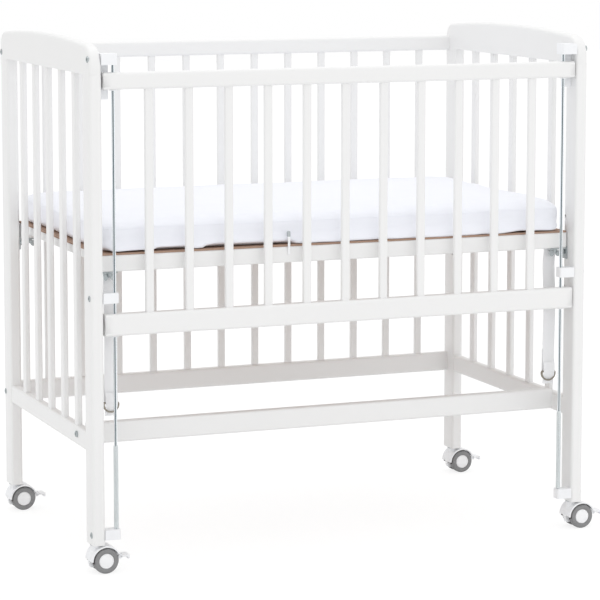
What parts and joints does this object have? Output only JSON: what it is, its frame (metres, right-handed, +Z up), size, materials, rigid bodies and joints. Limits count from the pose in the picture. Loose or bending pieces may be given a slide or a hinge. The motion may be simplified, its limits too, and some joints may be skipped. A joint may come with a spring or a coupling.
{
  "type": "bedside sleeper crib",
  "caption": "White slatted bedside sleeper crib with a drop side that slides on rods, a mattress on a bolted base and braked twin-wheel casters.",
  "frame": {"origin": "on the floor under the middle of the overall length and depth, pedals included", "axes": "+X along the length to the end that the brake pedals point to, +Y from the drop side to the fixed back, +Z up"},
  "size_m": [0.9994, 0.568, 0.9279],
  "materials": {
    "wood_white": "smooth white lacquer",
    "plastic_white": "moulded, slightly glossy",
    "steel_rod": "zinc-plated",
    "steel_zinc": "zinc-plated",
    "board_brown": "bare fibreboard",
    "fabric_white": "woven cotton cover",
    "zip_metal": "nickel",
    "webbing_white": "woven webbing",
    "ring_steel": "nickel",
    "rubber_grey": "soft tread"
  },
  "bodies": {
    "frame": {"left_front_post": "wood_white", "left_back_post": "wood_white", "left_crown": "wood_white", "right_front_post": "wood_white", "right_back_post": "wood_white", "right_crown": "wood_white", "left_end_rail": "wood_white", "left_end_slats": "wood_white", "right_end_rail": "wood_white", "right_end_slats": "wood_white", "back_top_rail": "wood_white", "back_bottom_rail": "wood_white", "back_slats": "wood_white", "front_lower_rail": "wood_white", "left_guide_rod": "steel_rod", "right_guide_rod": "steel_rod", "top_rod_brackets": "plastic_white", "middle_rod_brackets": "plastic_white", "bottom_rod_brackets": "plastic_white", "left_buffer_spring": "steel_rod", "right_buffer_spring": "steel_rod", "base_front_rail": "wood_white", "base_back_rail": "wood_white", "base_side_rails": "wood_white", "base_board": "board_brown", "base_corner_brackets": "steel_zinc", "base_wing_bolts": "steel_zinc", "base_post_screws": "steel_zinc", "left_strap": "webbing_white", "right_strap": "webbing_white", "strap_rings": "ring_steel", "frame_bolts": "steel_zinc", "barrel_nuts": "steel_zinc", "caster_stems": "steel_zinc"},
    "drop_side": {"drop_top_rail": "wood_white", "drop_bottom_rail": "wood_white", "drop_slats": "wood_white", "drop_guide_bushes": "plastic_white"},
    "mattress": {"mattress": "fabric_white", "mattress_zip_pull": "zip_metal"},
    "left_front_caster": {"left_front_hood": "plastic_white", "left_front_axle": "steel_zinc"},
    "left_front_wheels": {"left_front_wheel_cores": "plastic_white", "left_front_tyres": "rubber_grey"},
    "left_front_brake": {"left_front_pedal": "plastic_white"},
    "left_back_caster": {"left_back_hood": "plastic_white", "left_back_axle": "steel_zinc"},
    "left_back_wheels": {"left_back_wheel_cores": "plastic_white", "left_back_tyres": "rubber_grey"},
    "left_back_brake": {"left_back_pedal": "plastic_white"},
    "right_front_caster": {"right_front_hood": "plastic_white", "right_front_axle": "steel_zinc"},
    "right_front_wheels": {"right_front_wheel_cores": "plastic_white", "right_front_tyres": "rubber_grey"},
    "right_front_brake": {"right_front_pedal": "plastic_white"},
    "right_back_caster": {"right_back_hood": "plastic_white", "right_back_axle": "steel_zinc"},
    "right_back_wheels": {"right_back_wheel_cores": "plastic_white", "right_back_tyres": "rubber_grey"},
    "right_back_brake": {"right_back_pedal": "plastic_white"}
  },
  "joints": [
    {"name": "drop_side_slide", "type": "slide", "parent": "frame", "child": "drop_side", "axis": [0, 0, 1], "range_m": [-0.185, 0]},
    {"name": "mattress_lift", "type": "slide", "parent": "frame", "child": "mattress", "axis": [0, 0, 1], "range_m": [0, 0.3]},
    {"name": "left_front_swivel", "type": "hinge", "parent": "frame", "child": "left_front_caster", "pos_m": [-0.48625, -0.262, 0.045], "axis": [0, 0, 1], "continuous": true},
    {"name": "left_front_roll", "type": "hinge", "parent": "left_front_caster", "child": "left_front_wheels", "pos_m": [-0.47275, -0.262, 0.0225], "axis": [0, 1, 0], "continuous": true},
    {"name": "left_front_pedal", "type": "hinge", "parent": "left_front_caster", "child": "left_front_brake", "pos_m": [-0.44475, -0.262, 0.027], "axis": [0, 1, 0], "range_deg": [0, 14]},
    {"name": "left_back_swivel", "type": "hinge", "parent": "frame", "child": "left_back_caster", "pos_m": [-0.48625, 0.262, 0.045], "axis": [0, 0, 1], "continuous": true},
    {"name": "left_back_roll", "type": "hinge", "parent": "left_back_caster", "child": "left_back_wheels", "pos_m": [-0.47275, 0.262, 0.0225], "axis": [0, 1, 0], "continuous": true},
    {"name": "left_back_pedal", "type": "hinge", "parent": "left_back_caster", "child": "left_back_brake", "pos_m": [-0.44475, 0.262, 0.027], "axis": [0, 1, 0], "range_deg": [0, 14]},
    {"name": "right_front_swivel", "type": "hinge", "parent": "frame", "child": "right_front_caster", "pos_m": [0.44175, -0.262, 0.045], "axis": [0, 0, 1], "continuous": true},
    {"name": "right_front_roll", "type": "hinge", "parent": "right_front_caster", "child": "right_front_wheels", "pos_m": [0.45525, -0.262, 0.0225], "axis": [0, 1, 0], "continuous": true},
    {"name": "right_front_pedal", "type": "hinge", "parent": "right_front_caster", "child": "right_front_brake", "pos_m": [0.48325, -0.262, 0.027], "axis": [0, 1, 0], "range_deg": [0, 14]},
    {"name": "right_back_swivel", "type": "hinge", "parent": "frame", "child": "right_back_caster", "pos_m": [0.44175, 0.262, 0.045], "axis": [0, 0, 1], "continuous": true},
    {"name": "right_back_roll", "type": "hinge", "parent": "right_back_caster", "child": "right_back_wheels", "pos_m": [0.45525, 0.262, 0.0225], "axis": [0, 1, 0], "continuous": true},
    {"name": "right_back_pedal", "type": "hinge", "parent": "right_back_caster", "child": "right_back_brake", "pos_m": [0.48325, 0.262, 0.027], "axis": [0, 1, 0], "range_deg": [0, 14]}
  ]
}
